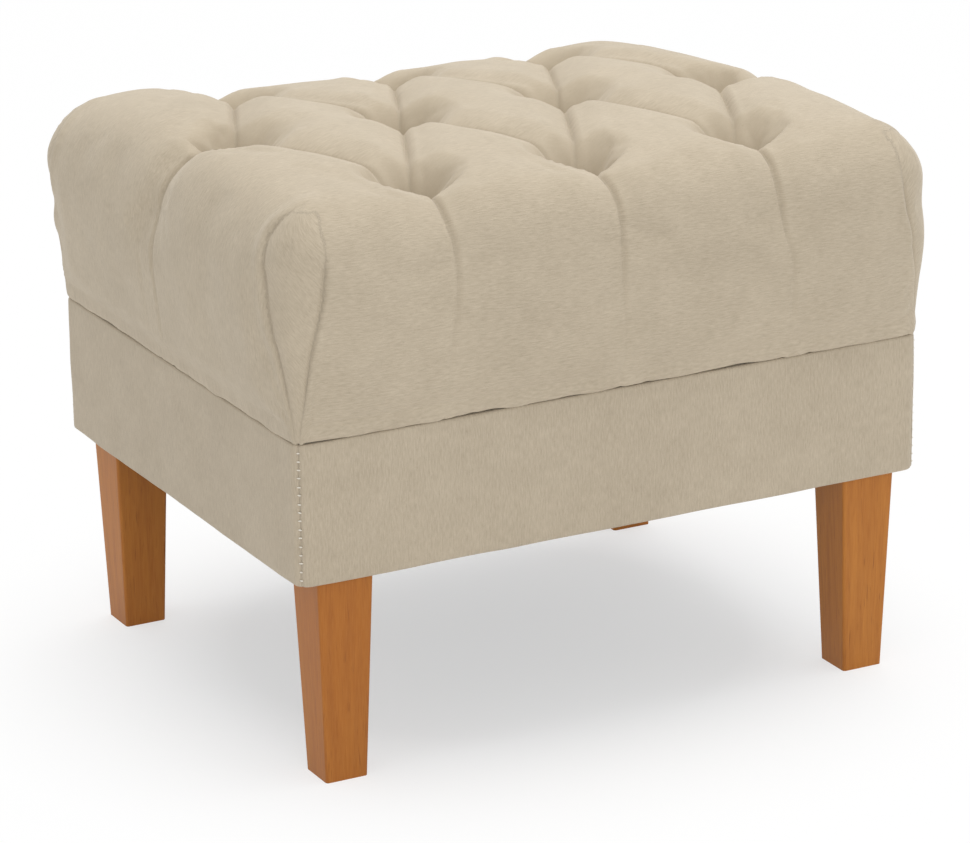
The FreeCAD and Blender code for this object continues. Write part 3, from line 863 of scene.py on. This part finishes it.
def makeRailPanel(side):
    signX, signY = sides[side]
    bm = bmesh.new()
    bmesh.ops.create_cube(bm, size=1)
    bmesh.ops.scale(bm, vec=(2 * halfWidth, 2 * halfDepth, railHigh - railLow), verts=bm.verts)
    bmesh.ops.translate(bm, vec=(0, 0, (railHigh + railLow) / 2), verts=bm.verts)
    roundOff(bm, uprightEdges(bm), railCover["corner"], 8)
    for level in (railLow, railHigh):
        roundOff(bm, rimEdges(bm, level), railCover["edge"], 5)
    caps = [face for face in bm.faces if abs(face.normal.z) > 0.99 and len(face.verts) > 8]
    bmesh.ops.inset_region(bm, faces=caps, thickness=railCover["turn"] - railCover["edge"], depth=0)
    bmesh.ops.delete(bm, geom=[face for face in bm.faces if face in caps], context="FACES")
    # keep this side's share, up to the seams on the corners' diagonals
    for turn in (-1, 1):
        if signY:
            corner = Vector((turn * halfWidth, signY * halfDepth, 0))
            away = Vector((turn, -signY, 0))
        else:
            corner = Vector((signX * halfWidth, turn * halfDepth, 0))
            away = Vector((-signX, turn, 0))
        bmesh.ops.bisect_plane(
            bm, geom=bm.verts[:] + bm.edges[:] + bm.faces[:], plane_co=corner, plane_no=away,
            dist=1e-6, clear_outer=True,
        )
    long = halfWidth if signY else halfDepth
    count = int(2 * long / railCover["cell"])
    for index in range(1, count):
        spot = -long + 2 * long * index / count
        sliceAt(bm, (spot, 0, 0) if signY else (0, spot, 0), (1, 0, 0) if signY else (0, 1, 0))
    rows = int((railHigh - railLow) / railCover["cell"])
    for index in range(1, rows):
        sliceAt(bm, (0, 0, railLow + (railHigh - railLow) * index / rows), (0, 0, 1))
    bmesh.ops.remove_doubles(bm, verts=bm.verts, dist=1e-6)
    bmesh.ops.recalc_face_normals(bm, faces=bm.faces)
    panel = addMesh("railCover" + side.capitalize(), bm)
    rest = coordsOf(panel.data)
    normals = normalsOf(panel.data)
    if normals[np.argmax(rest[:, 0] * signX + rest[:, 1] * signY)] @ np.array([signX, signY, 0]) < 0:
        panel.data.flip_normals()
        normals = -normals
    across = rest[:, 0] if signY else rest[:, 1]
    inward = halfDepth - np.abs(rest[:, 1]) if signY else halfWidth - np.abs(rest[:, 0])
    upwards = rest[:, 2] + inward * np.sign(rest[:, 2] - (railHigh + railLow) / 2)
    writeAttribute(panel.data, "weave", np.stack([upwards, across, across * 0], 1))
    # the cloth lies unevenly on its padding, less so along its edges
    edgeWave = hump(rest[:, 2], railHigh, 0.012) + 0.6 * hump(rest[:, 2], railLow, 0.01)
    shift = railCover["uneven"] * (1 + ripple(rest, 31, 0.07) + 0.4 * ripple(rest, 37, 0.03))
    shift *= 1 - 0.6 * edgeWave * (0.6 + 0.4 * ripple(rest, 41, 0.05))
    flat = ease(0.97, 1.0, np.abs(normals[:, 2]))
    shift = np.clip(shift, 0, None) * (1 - flat)
    # and rolls in at the sewn corners
    diagonal = np.abs((halfWidth - np.abs(rest[:, 0])) - (halfDepth - np.abs(rest[:, 1]))) / math.sqrt(2)
    shift -= railCover["seamRoll"] * hump(diagonal, 0, 0.0016)
    moved = rest + normals * shift[:, None]
    moved[:, 2] = np.clip(moved[:, 2], railLow, railHigh)
    setCoords(panel.data, moved)
    cloth = panel.modifiers.new("cloth", "SOLIDIFY")
    cloth.thickness = railCover["cloth"]
    cloth.offset = -1
    applyModifiers(panel)
    smoothShade(panel)
    panel.data.materials.append(railCloth)
    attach(panel, "root")
    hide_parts("rail_cover_" + side)


for side in sides:
    makeRailPanel(side)
print("rail cover made")

# ---- hand stitches down the corner seams
stitch = {"pitch": 0.0068, "length": 0.0030, "thick": 0.0013, "fromEdge": 0.005, "proud": 0.0004}


def makeStitches():
    draw = random.Random(4)
    bm = bmesh.new()
    height = railHigh - railLow - 2 * stitch["fromEdge"]
    count = int(height / stitch["pitch"]) + 1
    start = (railLow + railHigh - (count - 1) * stitch["pitch"]) / 2
    reach = railCover["corner"] * (1 - math.sqrt(0.5))
    for signX in (-1, 1):
        for signY in (-1, 1):
            turn = math.atan2(signY, signX)
            for index in range(count):
                made = bmesh.ops.create_uvsphere(bm, u_segments=6, v_segments=5, radius=0.5)["verts"]
                length = stitch["length"] * draw.uniform(0.85, 1.15)
                bmesh.ops.scale(bm, vec=(stitch["thick"], length, stitch["thick"]), verts=made)
                tilt = draw.uniform(-0.14, 0.14)
                bmesh.ops.rotate(bm, cent=(0, 0, 0), matrix=Matrix.Rotation(tilt, 3, "X"), verts=made)
                bmesh.ops.rotate(bm, cent=(0, 0, 0), matrix=Matrix.Rotation(turn, 3, "Z"), verts=made)
                place = (
                    signX * (halfWidth - reach + stitch["proud"]),
                    signY * (halfDepth - reach + stitch["proud"]),
                    start + index * stitch["pitch"] + draw.uniform(-0.0004, 0.0004),
                )
                bmesh.ops.translate(bm, vec=place, verts=made)
    piece = addMesh("cornerStitches", bm)
    smoothShade(piece)
    piece.data.materials.append(thread)
    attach(piece, "root")
    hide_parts("corner_stitches")


makeStitches()
print("stitches made")

# ---- finishes of the pieces that stay as they are
finishes = {
    "leg_wood": legWood,
    "frame_wood": pine,
    "plywood": plywood,
    "padding_foam": foamFinish,
    "wadding": waddingFinish,
    "dust_cloth": dustCloth,
    "thread": thread,
    "screw_steel": zincSteel,
    "staple_steel": stapleWire,
    "cushion_fabric": cushionCloth,
    "rail_fabric": railCloth,
}
slotOf = {part["node"]: part["material_slot"] for part in frame["record"]["subparts"]}
for node, piece in frame["nodes"].items():
    for index in range(len(piece.material_slots)):
        piece.material_slots[index].material = finishes[slotOf[node]]
print("finishes on the kept pieces")

# ---- floor, light and camera
stage = {
    "floor": 8.0,
    "floorColour": (0.95, 0.95, 0.95),
    "glowNear": 0.47,
    "glowFar": 0.97,
    "nearReach": 0.21,
    "farReach": 0.47,
    "air": 0.72,
}
lamps = {
    "overhead": {"place": (0.5, 0.2, 2.6), "aim": (0, 0, 0.4), "size": (2.2, 2.0), "power": 36},
    "front": {"place": (-0.9, -3.3, 1.6), "aim": (0, 0, 0.25), "size": (1.8, 1.8), "power": 20},
}


def makeStage():
    bm = bmesh.new()
    bmesh.ops.create_grid(bm, x_segments=4, y_segments=4, size=stage["floor"])
    floor = addMesh("floor", bm)
    finish = Finish("paleFloor", 0.9, Base_Color=stage["floorColour"] + (1,))
    shown = finish.node("ShaderNodeLightPath", out="Is Camera Ray")
    for ray in ("Is Glossy Ray", "Is Transmission Ray"):
        shown = shown.maths("MAXIMUM", shown, finish.node("ShaderNodeLightPath", out=ray))
    glow = finish.node("ShaderNodeEmission", {}, {"Color": (1, 1, 1, 1), "Strength": 1.0})
    body = Wire(finish, finish.shader.outputs[0])
    # painted light: the floor's glow grows with the distance from the stool, so it turns white a little way
    # off, past the stool's own shadow
    away = finish.node("ShaderNodeVectorMath", {"operation": "LENGTH"}, {0: finish.places()}, out="Value")
    share = finish.ranged(away, stage["nearReach"], stage["farReach"], stage["glowNear"], stage["glowFar"])
    mixed = finish.node("ShaderNodeMixShader", {}, {0: shown * share, 1: body, 2: glow})
    finish.tree.links.new(mixed.socket, finish.output.inputs[0])
    floor.data.materials.append(finish.material)
    world = bpy.data.worlds.new("studio")
    bpy.context.scene.world = world
    world.use_nodes = True
    tree = world.node_tree
    tree.nodes.clear()
    output = tree.nodes.new("ShaderNodeOutputWorld")
    seen = tree.nodes.new("ShaderNodeBackground")
    lit = tree.nodes.new("ShaderNodeBackground")
    path = tree.nodes.new("ShaderNodeLightPath")
    mix = tree.nodes.new("ShaderNodeMixShader")
    seen.inputs["Color"].default_value = (1, 1, 1, 1)
    seen.inputs["Strength"].default_value = 1.0
    lit.inputs["Color"].default_value = (1.0, 1.0, 1.0, 1)
    lit.inputs["Strength"].default_value = stage["air"]
    shown = path.outputs["Is Camera Ray"]
    for ray in ("Is Glossy Ray", "Is Transmission Ray"):
        either = tree.nodes.new("ShaderNodeMath")
        either.operation = "MAXIMUM"
        tree.links.new(shown, either.inputs[0])
        tree.links.new(path.outputs[ray], either.inputs[1])
        shown = either.outputs[0]
    tree.links.new(shown, mix.inputs[0])
    tree.links.new(lit.outputs[0], mix.inputs[1])
    tree.links.new(seen.outputs[0], mix.inputs[2])
    tree.links.new(mix.outputs[0], output.inputs[0])


def makeLamp(name, form):
    data = bpy.data.lights.new(name, "AREA")
    data.shape = "RECTANGLE"
    data.size, data.size_y = form["size"]
    data.energy = form["power"]
    lamp = bpy.data.objects.new(name, data)
    bpy.context.scene.collection.objects.link(lamp)
    lamp.location = form["place"]
    lamp.rotation_mode = "QUATERNION"
    lamp.rotation_quaternion = (Vector(form["aim"]) - Vector(form["place"])).to_track_quat("-Z", "Y")


camera = {
    "place": (-1.7038, -3.2654, 1.4510),
    "yaw": 27.541,
    "pitch": 18.901,
    "roll": -0.809,
    "lens": 177.04,
}


def makeCamera():
    yaw, pitch, roll = (math.radians(camera[key]) for key in ("yaw", "pitch", "roll"))
    ahead = Vector((math.sin(yaw) * math.cos(pitch), math.cos(yaw) * math.cos(pitch), -math.sin(pitch)))
    right = Vector((math.cos(yaw), -math.sin(yaw), 0))
    up = right.cross(ahead)
    turned = right * math.cos(roll) + up * math.sin(roll)
    raised = up * math.cos(roll) - right * math.sin(roll)
    data = bpy.data.cameras.new("photoView")
    data.lens = camera["lens"]
    data.sensor_width = 36
    data.sensor_fit = "HORIZONTAL"
    data.clip_end = 60
    view = bpy.data.objects.new("photoView", data)
    bpy.context.scene.collection.objects.link(view)
    view.location = camera["place"]
    view.rotation_mode = "QUATERNION"
    view.rotation_quaternion = Matrix((turned, raised, -ahead)).transposed().to_quaternion()
    bpy.context.scene.camera = view


makeStage()
for name, form in lamps.items():
    makeLamp(name, form)
makeCamera()
scene = bpy.context.scene
scene.view_settings.view_transform = "Standard"
print("stage, light and camera made")
